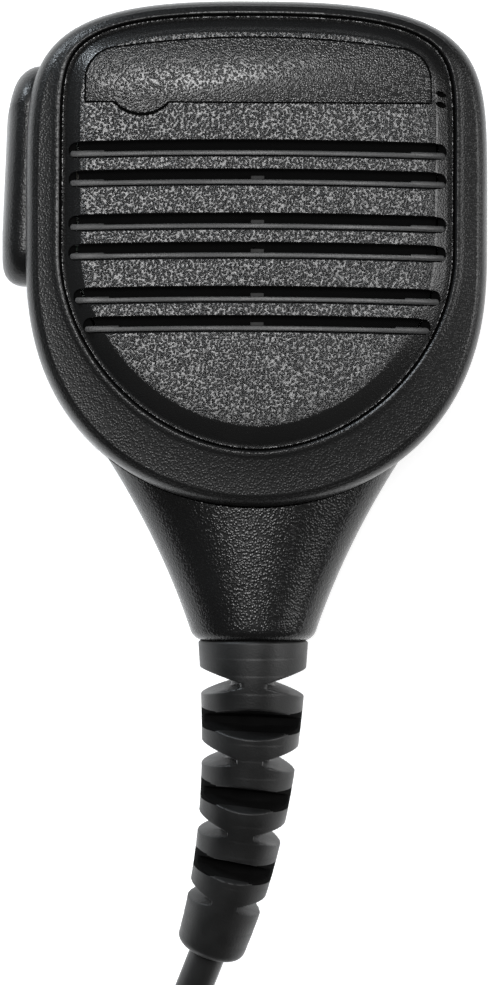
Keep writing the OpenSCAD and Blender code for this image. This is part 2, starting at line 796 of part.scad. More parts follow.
module plug_pin_small() {
    color("#cfb56a") plug_pin(plug_pitch / 2, 1.25, 12);
}

front_housing();
grille_panel();
name_plate();
grille_cloth();
speaker_gasket();
speaker_frame();
speaker_cone();
speaker_magnet();
mic_capsule();
mic_boot();
circuit_board();
board_components();
ptt_button();
ptt_seal();
ptt_switch();
switch_plunger();
ear_jack_socket();
jack_dust_cap();
housing_seal();
back_housing();
housing_screws();
threaded_inserts();
cord_clamp();
clamp_screws();
inner_cord();
wires();
swivel_washer();
swivel_screw();
swivel_insert();
clip_base();
clip_lever();
clip_pin();
clip_spring();
strain_relief();
cord_tail();
cord_curly();
cord_lead();
cord_tie();
plug_relief();
plug_body();
plug_pin_large();
plug_pin_small();
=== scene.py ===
import math

import bmesh
import bpy
import numpy as np
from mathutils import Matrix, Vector


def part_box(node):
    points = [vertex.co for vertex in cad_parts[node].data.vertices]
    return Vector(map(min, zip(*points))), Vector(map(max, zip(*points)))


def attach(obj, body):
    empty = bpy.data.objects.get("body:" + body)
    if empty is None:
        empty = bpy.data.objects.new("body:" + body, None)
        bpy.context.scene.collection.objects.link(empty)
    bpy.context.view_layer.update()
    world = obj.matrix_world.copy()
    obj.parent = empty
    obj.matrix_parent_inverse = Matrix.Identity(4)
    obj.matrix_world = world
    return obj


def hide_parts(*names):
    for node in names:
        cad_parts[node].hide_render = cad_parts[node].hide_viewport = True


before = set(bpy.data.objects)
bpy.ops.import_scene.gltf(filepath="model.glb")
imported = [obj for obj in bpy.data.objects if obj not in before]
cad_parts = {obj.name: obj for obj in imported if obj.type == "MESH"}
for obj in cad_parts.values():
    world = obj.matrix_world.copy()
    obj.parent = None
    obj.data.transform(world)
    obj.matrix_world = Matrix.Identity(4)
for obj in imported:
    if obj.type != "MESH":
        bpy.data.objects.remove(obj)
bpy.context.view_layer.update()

MM = 0.001

# ---- the body's place and outlines, in millimetres from the middle of its widest line ----

BODY_TOP, BODY_LOW, BODY_HALF = 34.0, 34.0, 31.0
PANEL_TOP, PANEL_LOW, PANEL_HALF = 32.1, 26.4, 26.5
NECK_END = 52.0

_low, _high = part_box("front_housing")
BODY_X = (_low.x + _high.x) / 2 / MM
BODY_Y = _high.y / MM - BODY_TOP
SEAM_FRONT = _low.z / MM
SEAM_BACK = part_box("housing_seal")[0].z / MM
BACK_Z = 12.0
PLATEAU_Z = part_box("grille_panel")[1].z / MM
LEDGE_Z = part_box("grille_panel")[0].z / MM
CEILING_Z = 34.4
WALL = 2.0
NECK_Z = 25.0
SIDES = 288


def superellipse(a, top, low, up, down, count=SIDES):
    """Points of a closed outline, by angle. Its upper and lower halves have their own powers."""
    angles = np.arange(count) * 2 * math.pi / count
    c, s = np.abs(np.cos(angles)), np.abs(np.sin(angles))
    upper = np.sin(angles) >= 0
    height = np.where(upper, top, low)
    p = np.where(upper, up[0], down[0])
    q = np.where(upper, up[1], down[1])
    near, far = np.zeros(count), np.full(count, 2 * max(a, top, low))
    for _ in range(50):
        mid = (near + far) / 2
        inside = (mid * c / a) ** p + (mid * s / height) ** q < 1
        near, far = np.where(inside, mid, near), np.where(inside, far, mid)
    return np.stack([near * np.cos(angles), near * np.sin(angles)], 1)


def body_outline(grow=0.0):
    return superellipse(BODY_HALF + grow, BODY_TOP + grow, BODY_LOW + grow, (2.8, 6.2), (2, 2.4))


def panel_outline():
    return superellipse(PANEL_HALF, PANEL_TOP, PANEL_LOW, (2.6, 10), (1.9, 1.9))


def circle(count):
    """The cosines and the sines of evenly spaced angles all round."""
    angles = np.arange(count) * 2 * math.pi / count
    return np.cos(angles), np.sin(angles)


def inward(points):
    """Unit vectors that point into a closed outline drawn anticlockwise."""
    along = np.roll(points, -1, 0) - np.roll(points, 1, 0)
    along /= np.linalg.norm(along, axis=1)[:, None]
    return np.stack([-along[:, 1], along[:, 0]], 1)


def flat_ring(points, z):
    return np.column_stack([points, np.full(len(points), z)])


# ---- meshes ----


def tidy_normals(mesh, angle=32):
    """Smooth faces, with sharp edges where two faces meet at more than this angle."""
    bm = bmesh.new()
    bm.from_mesh(mesh)
    bmesh.ops.recalc_face_normals(bm, faces=bm.faces)
    limit = math.radians(angle)
    for face in bm.faces:
        face.smooth = True
    for edge in bm.edges:
        edge.smooth = len(edge.link_faces) == 2 and edge.calc_face_angle(0) < limit
    bm.to_mesh(mesh)
    bm.free()


def linked(name, data):
    """A new object with this data, in the scene."""
    obj = bpy.data.objects.new(name, data)
    bpy.context.scene.collection.objects.link(obj)
    return obj


def new_object(name, verts, faces, local=True):
    """An object from points in millimetres: in the body's own place, or in the row frame."""
    offset = np.array([BODY_X, BODY_Y, 0.0]) if local else np.zeros(3)
    mesh = bpy.data.meshes.new(name)
    mesh.from_pydata(((np.asarray(verts, float) + offset) * MM).tolist(), [], faces)
    mesh.validate()
    return linked(name, mesh)


def loft(name, rings, loop=False, caps=True, local=True):
    """A skin over rings of equal length. It closes on itself, or has a cap at each end."""
    count, n = len(rings), len(rings[0])
    faces = []
    for i in range(count if loop else count - 1):
        a, b = i * n, (i + 1) % count * n
        faces += [(a + k, a + (k + 1) % n, b + (k + 1) % n, b + k) for k in range(n)]
    if caps and not loop:
        faces += [tuple(range(n))[::-1], tuple(range((count - 1) * n, count * n))]
    return new_object(name, np.concatenate(rings), faces, local)


def prism(name, outline, z0, z1):
    return loft(name, [flat_ring(np.asarray(outline), z) for z in (z0, z1)])


def baked(obj):
    """Puts the result of an object's modifiers into its mesh."""
    bpy.context.view_layer.update()
    graph = bpy.context.evaluated_depsgraph_get()
    mesh = bpy.data.meshes.new_from_object(obj.evaluated_get(graph))
    obj.modifiers.clear()
    obj.data = mesh
    return obj


def outward(obj):
    """Makes all the normals of a solid point out of it."""
    bm = bmesh.new()
    bm.from_mesh(obj.data)
    bmesh.ops.recalc_face_normals(bm, faces=bm.faces)
    bm.to_mesh(obj.data)
    bm.free()


def combine(obj, others, operation="DIFFERENCE"):
    """Cuts other solids out of a solid, or joins them to it, and removes them."""
    outward(obj)
    for other in others:
        outward(other)
        step = obj.modifiers.new("step", "BOOLEAN")
        step.object, step.operation, step.solver = other, operation, "EXACT"
    baked(obj)
    for other in others:
        bpy.data.objects.remove(other)
    return obj


def bevelled(obj, width, segments=2, angle=35):
    """Rounds the edges where two faces meet at more than this angle."""
    step = obj.modifiers.new("bevel", "BEVEL")
    step.width, step.segments, step.limit_method = width * MM, segments, "ANGLE"
    step.angle_limit = math.radians(angle)
    step.use_clamp_overlap = True
    return baked(obj)


def place(obj, body, materials, nodes=(), angle=32):
    """Gives a piece its materials, its body and the CAD parts that it replaces."""
    tidy_normals(obj.data, angle)
    obj.data.materials.clear()
    for m in materials if isinstance(materials, (list, tuple)) else [materials]:
        obj.data.materials.append(m)
    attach(obj, body)
    if nodes:
        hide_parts(*nodes)
    return obj


def softened(node, name, body, material, width=0.25, segments=2, angle=35):
    """A copy of a CAD part with its edges rounded."""
    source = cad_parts[node]
    obj = linked(name, source.data.copy())
    bm = bmesh.new()
    bm.from_mesh(obj.data)
    bmesh.ops.remove_doubles(bm, verts=bm.verts, dist=1e-6)
    bmesh.ops.dissolve_limit(bm, angle_limit=math.radians(1), verts=bm.verts, edges=bm.edges)
    bm.to_mesh(obj.data)
    bm.free()
    bevelled(obj, width, segments, angle)
    return place(obj, body, material, [node])


# ---- materials ----


class Shader:
    """A material's node tree, with short calls for the nodes used here."""

    def __init__(self, name, **sockets):
        self.material = bpy.data.materials.new(name)
        self.material.use_nodes = True
        self.tree = self.material.node_tree
        self.bsdf = self.tree.nodes["Principled BSDF"]
        self.where = self.tree.nodes.new("ShaderNodeTexCoord").outputs["Object"]
        for key, value in sockets.items():
            self.bsdf.inputs[key.replace("_", " ")].default_value = value

    def node(self, kind, **settings):
        made = self.tree.nodes.new("ShaderNode" + kind)
        for key, value in settings.items():
            setattr(made, key, value)
        return made

    def link(self, source, target):
        self.tree.links.new(source, target)

    def noise(self, scale, detail, rough):
        made = self.node("TexNoise")
        made.inputs["Scale"].default_value = scale
        made.inputs["Detail"].default_value = detail
        made.inputs["Roughness"].default_value = rough
        self.link(self.where, made.inputs["Vector"])
        return made.outputs["Fac"]

    def warped(self, scale, amount):
        """The surface's own coordinates, pushed about by a noise."""
        noise = self.node("TexNoise")
        noise.inputs["Scale"].default_value = scale
        self.link(self.where, noise.inputs["Vector"])
        centred = self.node("VectorMath", operation="SUBTRACT")
        self.link(noise.outputs["Color"], centred.inputs[0])
        centred.inputs[1].default_value = (0.5, 0.5, 0.5)
        scaled = self.node("VectorMath", operation="SCALE")
        self.link(centred.outputs[0], scaled.inputs[0])
        scaled.inputs["Scale"].default_value = amount
        added = self.node("VectorMath", operation="ADD")
        self.link(self.where, added.inputs[0])
        self.link(scaled.outputs[0], added.inputs[1])
        return added.outputs[0]

    def cells(self, size_mm, vector, feature="F1"):
        made = self.node("TexVoronoi", feature=feature)
        made.inputs["Scale"].default_value = 1 / (size_mm * MM)
        self.link(vector, made.inputs["Vector"])
        return made.outputs["Distance"]

    def remap(self, value, from_low, from_high, low, high):
        made = self.node("MapRange")
        made.interpolation_type = "SMOOTHSTEP"
        self.link(value, made.inputs["Value"])
        for key, number in (("From Min", from_low), ("From Max", from_high),
                            ("To Min", low), ("To Max", high)):
            made.inputs[key].default_value = number
        return made.outputs["Result"]

    def math(self, operation, a, b):
        made = self.node("Math", operation=operation)
        for socket, value in zip(made.inputs, (a, b)):
            if isinstance(value, (int, float)):
                socket.default_value = value
            else:
                self.link(value, socket)
        return made.outputs[0]

    def mix(self, factor, dark, light):
        made = self.node("Mix", data_type="RGBA")
        self.link(factor, made.inputs["Factor"])
        made.inputs["A"].default_value = (*dark, 1)
        made.inputs["B"].default_value = (*light, 1)
        return made.outputs["Result"]

    def bump(self, height, depth_mm):
        made = self.node("Bump")
        made.inputs["Strength"].default_value = 1.0
        made.inputs["Distance"].default_value = depth_mm * MM
        self.link(height, made.inputs["Height"])
        return made.outputs["Normal"]

    def blotched(self, factor, low, high, tone, lighter):
        """A tone that changes to a lighter one, by this factor, between two of its values."""
        return self.mix(self.remap(factor, low, high, 0.0, 1.0), tone, tuple(lighter * t for t in tone))

    def set(self, **sources):
        for key, source in sources.items():
            self.link(source, self.bsdf.inputs[key.replace("_", " ")])
        return self.material


FLAT_START, FLAT_FULL = 0.93, 0.99
SLOPE_GRAIN = 0.3


def up_mask(shader):
    """1 where the surface faces straight up, 0 on slopes."""
    geometry = shader.node("NewGeometry")
    split = shader.node("SeparateXYZ")
    shader.link(geometry.outputs["Normal"], split.inputs[0])
    return shader.remap(split.outputs["Z"], FLAT_START, FLAT_FULL, 0.0, 1.0)


def grained(name, tone, cell, depth, rough, masked=False, spec=0.5):
    """Moulded black plastic with a pebbled grain of small domes, fainter on slopes if masked."""
    s = Shader(name)
    s.bsdf.inputs["Specular IOR Level"].default_value = spec
    where = s.warped(1 / (1.7 * cell * MM), 0.7 * cell * MM)
    domes = s.remap(s.cells(cell, where), 0.05, 0.7, 1.0, 0.0)
    big = s.noise(1 / (2.4 * cell * MM), 2.0, 0.6)
    small = s.noise(1 / (0.55 * cell * MM), 2.0, 0.6)
    height = s.math("ADD", domes, s.math("MULTIPLY", small, 0.25))
    height = s.math("ADD", height, s.math("MULTIPLY", big, 0.5))
    if masked:
        height = s.math("MULTIPLY", height, s.remap(up_mask(s), 0.0, 1.0, SLOPE_GRAIN, 1.0))
    fine = s.noise(1 / (0.1 * MM), 2.0, 0.5)
    height = s.math("ADD", height, s.math("MULTIPLY", fine, 0.06))
    colour = s.blotched(s.noise(60, 3.0, 0.55), 0.35, 0.65, tone, 1.35)
    roughness = s.remap(small, 0.3, 0.7, rough[1], rough[0])
    return s.set(Base_Color=colour, Roughness=roughness, Normal=s.bump(height, depth))


def smooth_plastic(name, tone, rough, speck=0.02):
    """Plain moulded plastic with faint specks and wear."""
    s = Shader(name)
    fine = s.noise(1 / (0.22 * MM), 3.0, 0.6)
    wear = s.noise(110, 3.0, 0.6)
    colour = s.blotched(wear, 0.3, 0.7, tone, 1.3)
    roughness = s.remap(wear, 0.3, 0.7, rough - 0.05, rough + 0.07)
    return s.set(Base_Color=colour, Roughness=roughness, Normal=s.bump(fine, speck))


def rubber(name, tone, rough, spec=0.5):
    """Soft rubber with a little dust on it."""
    s = Shader(name)
    s.bsdf.inputs["Specular IOR Level"].default_value = spec
    fine = s.noise(1 / (0.3 * MM), 4.0, 0.65)
    dust = s.noise(150, 4.0, 0.6)
    colour = s.blotched(dust, 0.4, 0.75, tone, 1.5)
    roughness = s.remap(dust, 0.3, 0.7, rough - 0.06, rough + 0.1)
    return s.set(Base_Color=colour, Roughness=roughness, Normal=s.bump(fine, 0.03))


def metal(name, tone, rough):
    """Metal with fine scratches one way and faint stains."""
    s = Shader(name, Metallic=1.0)
    scratches = s.node("TexNoise")
    stretch = s.node("Mapping")
    stretch.inputs["Scale"].default_value = (9000, 900, 900)
    s.link(s.where, stretch.inputs["Vector"])
    s.link(stretch.outputs[0], scratches.inputs["Vector"])
    scratches.inputs["Scale"].default_value = 1.0
    stain = s.noise(300, 3.0, 0.6)
    colour = s.mix(s.remap(stain, 0.3, 0.7, 0.0, 1.0), tuple(0.82 * t for t in tone), tone)
    roughness = s.remap(scratches.outputs["Fac"], 0.3, 0.7, rough - 0.08, rough + 0.12)
    return s.set(Base_Color=colour, Roughness=roughness,
                 Normal=s.bump(scratches.outputs["Fac"], 0.01))


def woven(name, tone, thread):
    """Fine cloth: two crossed sets of threads."""
    s = Shader(name)
    split = s.node("SeparateXYZ")
    s.link(s.where, split.inputs[0])
    turns = 2 * math.pi / (thread * MM)
    rows = s.math("SINE", s.math("MULTIPLY", split.outputs["X"], turns), 0.0)
    columns = s.math("SINE", s.math("MULTIPLY", split.outputs["Y"], turns), 0.0)
    weave = s.remap(s.math("MULTIPLY", rows, columns), -1.0, 1.0, 0.0, 1.0)
    colour = s.mix(weave, tuple(0.5 * t for t in tone), tuple(1.5 * t for t in tone))
    s.bsdf.inputs["Roughness"].default_value = 0.9
    s.bsdf.inputs["Specular IOR Level"].default_value = 0.03
    return s.set(Base_Color=colour, Normal=s.bump(weave, 0.06))


def board_green():
    """Green solder mask with the lines of the copper under it."""
    s = Shader("solder_mask", Roughness=0.3)
    tracks = s.remap(s.cells(1.6, s.warped(400, 0.002), "DISTANCE_TO_EDGE"), 0.04, 0.07, 0.0, 1.0)
    colour = s.mix(tracks, (0.02, 0.13, 0.06), (0.012, 0.07, 0.03))
    return s.set(Base_Color=colour, Normal=s.bump(tracks, 0.03))


SHELL = grained("shell_grain", (0.005, 0.005, 0.005), 0.34, 0.03, (0.2, 0.32), spec=0.34)
RIM = grained("rim_grain", (0.005, 0.005, 0.005), 0.3, 0.02, (0.27, 0.38), spec=0.34)
PLATEAU = grained("plateau_grain", (0.006, 0.006, 0.006), 0.28, 0.062, (0.22, 0.34), masked=True)
LABEL = grained("label_grain", (0.006, 0.006, 0.006), 0.26, 0.034, (0.2, 0.32), masked=True)
LEDGE = smooth_plastic("ledge_plastic", (0.006, 0.006, 0.006), 0.4)
# The ribs' tone is darker than the ledges' as painted shade deep in the slots; their greater roughness is
# the matte plastic's own.
RIB = smooth_plastic("rib_plastic", (0.004, 0.004, 0.004), 0.65)
RELIEF = rubber("relief_rubber", (0.005, 0.005, 0.005), 0.44, 0.4)
CORD = rubber("cord_rubber", (0.005, 0.005, 0.005), 0.4, 0.45)
SOFT = rubber("soft_rubber", (0.008, 0.008, 0.008), 0.6)
CLIP = smooth_plastic("clip_plastic", (0.02, 0.02, 0.021), 0.42, 0.03)
PLUG = smooth_plastic("plug_plastic", (0.02, 0.02, 0.021), 0.4, 0.03)
DARK = smooth_plastic("component_plastic", (0.016, 0.016, 0.017), 0.5)
NYLON = smooth_plastic("nylon", (0.6, 0.58, 0.52), 0.5)
CONE = smooth_plastic("cone_paper", (0.012, 0.012, 0.013), 0.75, 0.05)
STEEL = metal("zinc_steel", (0.58, 0.58, 0.6), 0.34)
BRASS = metal("turned_brass", (0.72, 0.53, 0.24), 0.3)
GOLD = metal("gold_plate", (0.86, 0.66, 0.32), 0.2)
# Painted shade: near-black matte rubber laid on faces deep in the relief's front and back notches, low
# inside the front shell's groove and on the floor of the name plate's recess.
SHADE = rubber("painted_shade_matte", (0.003, 0.003, 0.003), 0.9, 0.03)
CLOTH = woven("grille_weave", (0.004, 0.004, 0.004), 0.3)
FOAM = rubber("foam", (0.012, 0.012, 0.013), 0.9)
BOARD = board_green()
WIRE = smooth_plastic("wire_vinyl", (0.32, 0.03, 0.03), 0.35)

# ---- the camera, straight above and a little to the left ----

VIEW_CENTRE = Vector((0.22, -23.1, 32.0)) * MM
VIEW_DISTANCE = 1.0
VIEW_HEIGHT = 132.5 * MM
VIEW_YAW = math.radians(1.5)
VIEW_ROLL = math.radians(0.25)
SENSOR = 24

camera = linked("camera", bpy.data.cameras.new("camera"))
camera.location = VIEW_CENTRE + VIEW_DISTANCE * Vector((-math.sin(VIEW_YAW), 0, math.cos(VIEW_YAW)))
camera.rotation_euler = (0, -VIEW_YAW, VIEW_ROLL)
camera.data.sensor_fit = "VERTICAL"
camera.data.sensor_height = SENSOR
camera.data.lens = SENSOR * VIEW_DISTANCE / VIEW_HEIGHT
bpy.context.scene.camera = camera

# ---- the cord: points of its route in millimetres, in the row frame ----

CORD_D = 5.0
CURL_D = 14.0
CURL_Z = CURL_D / 2 + 0.6
CURL_R = (CURL_D - CORD_D) / 2 - 0.05
CURL_PITCH = 5.25
CURL_STEP, CURL_KEEP = 0.1, 3
CURL_EASE = 15.0
BEND_REACH = 40
LOW_Z = CURL_Z - CURL_R
RELIEF_LEN, RELIEF_BEND, RELIEF_DROOP, RELIEF_STEPS = 44.0, 19.0, 20.0, 20


def relief_dir(s):
    """The way the relief's middle line runs, this far along it: it bends to a side and droops."""
    part = max(0.0, s) / RELIEF_LEN
    side, down = math.radians(RELIEF_BEND * part**1.5), math.radians(RELIEF_DROOP * part**0.7)
    return np.array([-math.sin(side) * math.cos(down), -math.cos(side) * math.cos(down),
                     -math.sin(down)])


RELIEF_STEP = RELIEF_LEN / RELIEF_STEPS
RELIEF_PATH = [np.array([BODY_X, BODY_Y - NECK_END, NECK_Z])]
for _i in range(RELIEF_STEPS):
    RELIEF_PATH.append(RELIEF_PATH[-1] + RELIEF_STEP * relief_dir((_i + 0.5) * RELIEF_STEP))


def relief_at(s):
    """The point this far along the relief's middle line."""
    i = min(max(0, int(s // RELIEF_STEP)), RELIEF_STEPS)
    return RELIEF_PATH[i] + (s - i * RELIEF_STEP) * relief_dir(s)


def arc(centre, r, start, end, n, z):
    angles = np.radians(np.linspace(start, end, n + 1))
    return [(centre[0] + r * math.cos(a), centre[1] + r * math.sin(a), z) for a in angles]


TAIL = [tuple(RELIEF_PATH[-1]), (-7.2, -94, 12.5), (-10, -102, 9), (-12.2, -110, 6),
        (-13.6, -118, 4), (-14, -126, LOW_Z), (-14, -133, LOW_Z)]
CURL = ([(x, y, CURL_Z) for x, y in
         [(-14, -133), (-13.6, -147), (-12.5, -160), (-12, -172), (-12, -185), (-13, -198),
          (-15.5, -211), (-19, -223), (-21.5, -234)]]
        + arc((-8, -244), 14, 180, 360, 9, CURL_Z)
        + [(x, y, CURL_Z) for x, y in
           [(5.6, -234), (4.6, -223), (3.6, -211), (3.2, -198), (3, -185), (3, -172), (3, -160),
            (3, -149), (3, -138)]])
LEAD = ([(3, -138, LOW_Z), (3, -132, LOW_Z)] + arc((13.4, -126), 10.4, 180, 0, 8, CORD_D / 2 + 0.1)
        + [(23.8, -133, CORD_D / 2 + 0.6), (23.8, -140, 5)])


def smooth_path(points, step):
    """A smooth line through points, with samples this far apart."""
    p = np.asarray(points, float)
    ends = np.vstack([2 * p[0] - p[1], p, 2 * p[-1] - p[-2]])
    line = []
    for a, b, c, d in zip(ends, ends[1:], ends[2:], ends[3:]):
        for t in np.linspace(0, 1, 24, endpoint=False):
            line.append(0.5 * (2 * b + (c - a) * t + (2 * a - 5 * b + 4 * c - d) * t**2
                               + (3 * b - a - 3 * c + d) * t**3))
    line = np.array(line + [p[-1]])
    lengths = np.concatenate([[0], np.cumsum(np.linalg.norm(np.diff(line, axis=0), axis=1))])
    at = np.linspace(0, lengths[-1], max(2, int(round(lengths[-1] / step)) + 1))
    return np.stack([np.interp(at, lengths, line[:, k]) for k in range(3)], 1)


def curly(points):
    """A helix round a line on the table. It starts and ends along the line, at its underside,
    and its turns touch on the inner side of a bend and open on the outer side."""
    line = smooth_path(points, CURL_STEP)
    step = np.linalg.norm(np.diff(line, axis=0), axis=1).mean()
    along = np.gradient(line, axis=0)
    along /= np.linalg.norm(along, axis=1)[:, None]
    side = np.stack([-along[:, 1], along[:, 0], np.zeros(len(line))], 1)
    bend = np.linalg.norm(np.gradient(along, axis=0), axis=1) / step
    bend = np.convolve(np.pad(bend, BEND_REACH, "edge"), np.ones(2 * BEND_REACH + 1)
                       / (2 * BEND_REACH + 1), "valid")
    at = np.arange(len(line)) * step
    ease = np.clip(np.minimum(at, at[-1] - at) / CURL_EASE, 0, 1)
    ease = ease**2 * (3 - 2 * ease)
    turning = 2 * math.pi / CURL_PITCH * (1 - CURL_R * bend) * ease
    turn = np.concatenate([[0], np.cumsum((turning[1:] + turning[:-1]) / 2) * step])
    whole = round(turn[-1] / (2 * math.pi)) * 2 * math.pi
    turn *= whole / turn[-1]
    helix = line + CURL_R * (np.sin(turn)[:, None] * side
                             - np.cos(turn)[:, None] * np.array([0, 0, 1.0]))
    return helix[::CURL_KEEP]


def cord_line():
    """The whole route of the cord, from the relief to the plug."""
    return np.concatenate([smooth_path(TAIL, 1.0), curly(CURL)[1:-1], smooth_path(LEAD, 1.0)])


CORD_LINE = cord_line()


def make_cord():
    curve = bpy.data.curves.new("cord", "CURVE")
    curve.dimensions = "3D"
    spline = curve.splines.new("POLY")
    spline.points.add(len(CORD_LINE) - 1)
    for point, place_at in zip(spline.points, CORD_LINE):
        point.co = (*(place_at * MM), 1)
    curve.bevel_depth = CORD_D / 2 * MM
    curve.bevel_resolution = 5
    curve.use_fill_caps = True
    curve.materials.append(CORD)
    obj = linked("cord", curve)
    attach(obj, "housing")
    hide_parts("cord_tail", "cord_curly", "cord_lead")
    return obj


cord = make_cord()

# ---- strain relief ----

NOTCH_FIRST, NOTCH_PITCH, NOTCHES = 5.5, 5.04, 7
NOTCH_DEEPEST, SIDE_SLOPE, FRONT_SLOPE = 0.9, 0.29, 0.33
SIDE_STRAP, FRONT_STRAP = 2.5, 1.8
CORE_R = 2.9
RELIEF_R0, RELIEF_R1 = 7.45, 4.65
NECK_HOLE_R, COLLAR_R = 5.0, 6.2
COLLAR_FROM, COLLAR_TO = -3.86, -2.69
TIP_R = 1.2
NOTCH_REACH = 3.5
# Which notches, how far along them and how far from the middle line the inner faces get painted shade.
SHADED_NOTCHES, SHADED_REACH, SHADED_HEIGHT = (1, 3, 5), 1.4, 4.6


def soft_min(a, b, k):
    h = np.clip(0.5 + 0.5 * (b - a) / k, 0, 1)
    return b * (1 - h) + a * h - k * h * (1 - h)


def soft_max(a, b, k):
    return -soft_min(-a, -b, k)


def relief_profile(s, angles):
    """The sleeve's radius all round at one place along it. Wedges are cut in turn from its
    two sides, which leaves straps at the front and back, and from its front and back."""
    if s < 0:
        return np.full(len(angles), NECK_HOLE_R)
    outer = RELIEF_R0 + (RELIEF_R1 - RELIEF_R0) * s / RELIEF_LEN
    outer -= 0.3 * max(0.0, 1 - s / 0.3) ** 2
    past = max(0.0, s - (RELIEF_LEN - TIP_R))
    outer -= TIP_R - math.sqrt(max(0.0, TIP_R**2 - past**2))
    r = np.full(len(angles), outer)
    for i in range(NOTCHES):
        away = abs(s - NOTCH_FIRST - i * NOTCH_PITCH)
        if away > NOTCH_REACH:
            continue
        sideways = i % 2 == 0
        part = np.maximum(np.abs(np.cos(angles) if sideways else np.sin(angles)), 0.01)
        plane = (NOTCH_DEEPEST + away / (SIDE_SLOPE if sideways else FRONT_SLOPE)) / part
        strap = (FRONT_STRAP if sideways else SIDE_STRAP) / part
        floor = soft_max(np.maximum(plane, strap), np.full(len(angles), CORE_R), 0.4)
        r = soft_min(r, floor, 0.35)
    return r


def make_relief():
    angles = np.arange(144) * 2 * math.pi / 144
    stations = np.concatenate([[-6, -3.9, -3.85], [-2.7, -2.65, -0.01, 0.0, 0.08],
                               np.arange(0.2, RELIEF_LEN, 0.12), [RELIEF_LEN]])
    rings = []
    for s in stations:
        d = relief_dir(s)
        side = np.cross(d, [0, 0, 1.0])
        side /= np.linalg.norm(side)
        up = np.cross(side, d)
        r = relief_profile(s, angles)
        if COLLAR_FROM < s < COLLAR_TO:
            r = np.full(len(angles), COLLAR_R)
        rings.append(relief_at(s) + r[:, None] * (np.cos(angles)[:, None] * side
                                                  + np.sin(angles)[:, None] * up))
    obj = loft("strain_relief_sleeve", rings, local=False)
    place(obj, "housing", [RELIEF, SHADE], ["strain_relief"], angle=50)
    shade_notches(obj)


def shade_notches(obj):
    """Gives the inner faces of the notches cut from the front and back the near-black matte material, as
    painted shade deep in those notches.
    """
    run = RELIEF_PATH[0][1] - RELIEF_PATH[-1][1]
    for face in obj.data.polygons:
        at = np.array(face.center) / MM
        s = RELIEF_LEN * float(np.clip((RELIEF_PATH[0][1] - at[1]) / run, 0, 1))
        for _ in range(3):
            s += float(np.dot(at - relief_at(s), relief_dir(s)))
        notch = round((s - NOTCH_FIRST) / NOTCH_PITCH)
        away = abs(s - NOTCH_FIRST - notch * NOTCH_PITCH)
        side = np.cross(relief_dir(s), [0, 0, 1.0])
        up = np.cross(side / np.linalg.norm(side), relief_dir(s))
        height = abs(np.dot(at - relief_at(s), up))
        if notch in SHADED_NOTCHES and away < SHADED_REACH and height < SHADED_HEIGHT:
            face.material_index = 1


make_relief()

# ---- front shell ----


RIM_LEAST, RIM_WIDTH = 0.5, 2.3
RIM_LOW, RIM_RISE, RIM_ROUND = 33.2, 3.35, 1.45


def shell_rings(profile):
    """Rings between the body's outline and the panel's groove. Each has a side, a distance
    inwards from that side's line, and a height."""
    outer, inner = body_outline(), panel_outline()
    out_n, in_n = inward(outer), inward(inner)
    width = np.linalg.norm(outer - inner, axis=1)
    squeeze = np.clip((width - RIM_LEAST) / RIM_WIDTH, 0.45, 1.0)[:, None]
    rings = []
    for side, distance, z in profile:
        if side == "outer":
            points = outer + out_n * distance * squeeze
        elif side == "wall":
            points = outer + out_n * distance
        else:
            points = inner - in_n * distance * (squeeze if distance > 0 else 1)
        rings.append(flat_ring(points, z))
    return rings


def lozenge(y0, y1, z0, z1, r, n=12):
    """A rectangle with round corners, as (y, z) points."""
    corners = [(y1 - r, z1 - r, 0), (y0 + r, z1 - r, 90), (y0 + r, z0 + r, 180), (y1 - r, z0 + r, 270)]
    return np.array([(y + r * math.cos(a), z + r * math.sin(a)) for y, z, start in corners
                     for a in np.radians(np.linspace(start, start + 90, n))])


PTT_Y0, PTT_Y1, PTT_Z0, PTT_Z1 = -4.2, 25.5, 17.5, 32.0
WINDOW_GAP, WINDOW_R = 0.25, 5


def window_cutter():
    """The room for the push-to-talk button in the left wall."""
    gap = WINDOW_GAP
    yz = lozenge(PTT_Y0 - gap, PTT_Y1 + gap, PTT_Z0 - gap, PTT_Z1 + gap, WINDOW_R + gap)
    rings = [np.column_stack([np.full(len(yz), x), yz]) for x in (-45.0, -24.0)]
    return loft("window_cutter", rings)


SCREWS = [(16, 27.5), (-16, 27.5), (21, -14), (-21, -14)]
BOSS_R, INSERT_R, INSERT_DEEP = 3, 2.1, 5.5
ROD_SIDES = 48


def rod(name, at, r, z0, z1):
    c, s = circle(ROD_SIDES)
    return prism(name, np.stack([at[0] + r * c, at[1] + r * s], 1), z0, z1)


